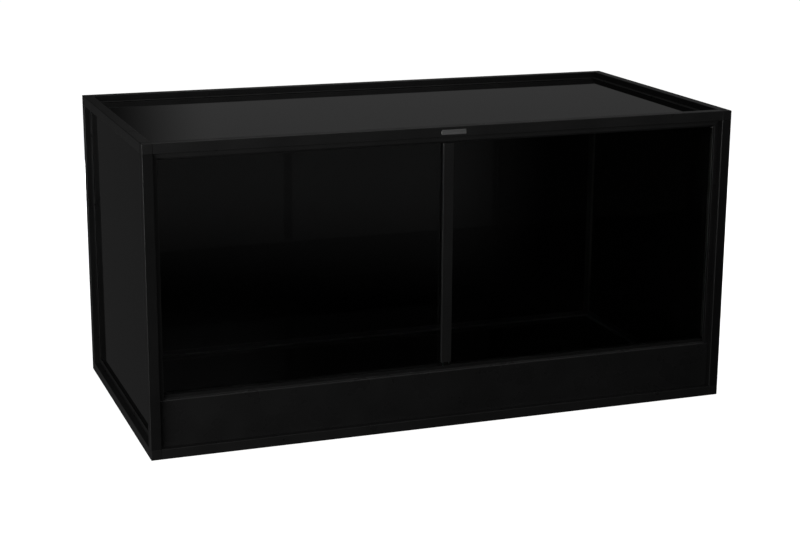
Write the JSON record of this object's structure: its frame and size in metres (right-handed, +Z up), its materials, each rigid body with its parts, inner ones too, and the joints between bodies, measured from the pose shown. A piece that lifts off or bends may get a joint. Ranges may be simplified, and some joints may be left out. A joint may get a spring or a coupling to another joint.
{
  "type": "front-opening vivarium",
  "caption": "Black aluminium-framed reptile vivarium with glossy panels, a deep front sill and sliding glass doors.",
  "frame": {"origin": "centre of the footprint, on the surface the frame stands on", "axes": "+X to the right seen from the front, along the doors; +Y from the doors to the back panel; +Z up"},
  "size_m": [1.2, 0.6, 0.6],
  "materials": {
    "frame_black": "black satin powder coat",
    "connector_black": "black satin nylon",
    "panel_black": "black gloss sheet",
    "door_glass": "clear float glass",
    "track_black": "black extruded plastic",
    "seal_rubber": "black rubber",
    "tape_foam": "black foam tape",
    "vent_black": "black moulded plastic",
    "grommet_rubber": "black soft rubber",
    "sill_black": "black satin powder coat",
    "block_black": "black machined plastic",
    "screw_steel": "zinc-plated steel",
    "stile_black": "black satin powder coat",
    "brush_black": "black pile brush",
    "badge_satin": "plain satin aluminium"
  },
  "bodies": {
    "cabinet": {"blank_badge": "badge_satin", "cable_grommet": "grommet_rubber", "corner_bottom_front_left": "connector_black", "corner_bottom_front_right": "connector_black", "corner_bottom_rear_left": "connector_black", "corner_bottom_rear_right": "connector_black", "corner_top_front_left": "connector_black", "corner_top_front_right": "connector_black", "corner_top_rear_left": "connector_black", "corner_top_rear_right": "connector_black", "panel_back": "panel_black", "panel_floor": "panel_black", "panel_left": "panel_black", "panel_right": "panel_black", "panel_top": "panel_black", "post_front_left": "frame_black", "post_front_right": "frame_black", "post_rear_left": "frame_black", "post_rear_right": "frame_black", "rail_bottom_front": "frame_black", "rail_bottom_left": "frame_black", "rail_bottom_rear": "frame_black", "rail_bottom_right": "frame_black", "rail_top_front": "frame_black", "rail_top_left": "frame_black", "rail_top_rear": "frame_black", "rail_top_right": "frame_black", "side_seal_left": "seal_rubber", "side_seal_right": "seal_rubber", "sill_block_left": "block_black", "sill_block_right": "block_black", "sill_fascia": "sill_black", "sill_screws": "screw_steel", "tape_lower": "tape_foam", "tape_upper": "tape_foam", "track_lower": "track_black", "track_upper": "track_black", "vent_left": "vent_black", "vent_right": "vent_black"},
    "left_door": {"glass_left": "door_glass"},
    "right_door": {"glass_right": "door_glass", "door_stile": "stile_black", "stile_brush": "brush_black"}
  },
  "joints": [
    {"name": "left_door_slide", "type": "slide", "parent": "cabinet", "child": "left_door", "axis": [1, 0, 0], "range_m": [0, 0.566]},
    {"name": "right_door_slide", "type": "slide", "parent": "cabinet", "child": "right_door", "axis": [1, 0, 0], "range_m": [-0.566, 0]}
  ]
}
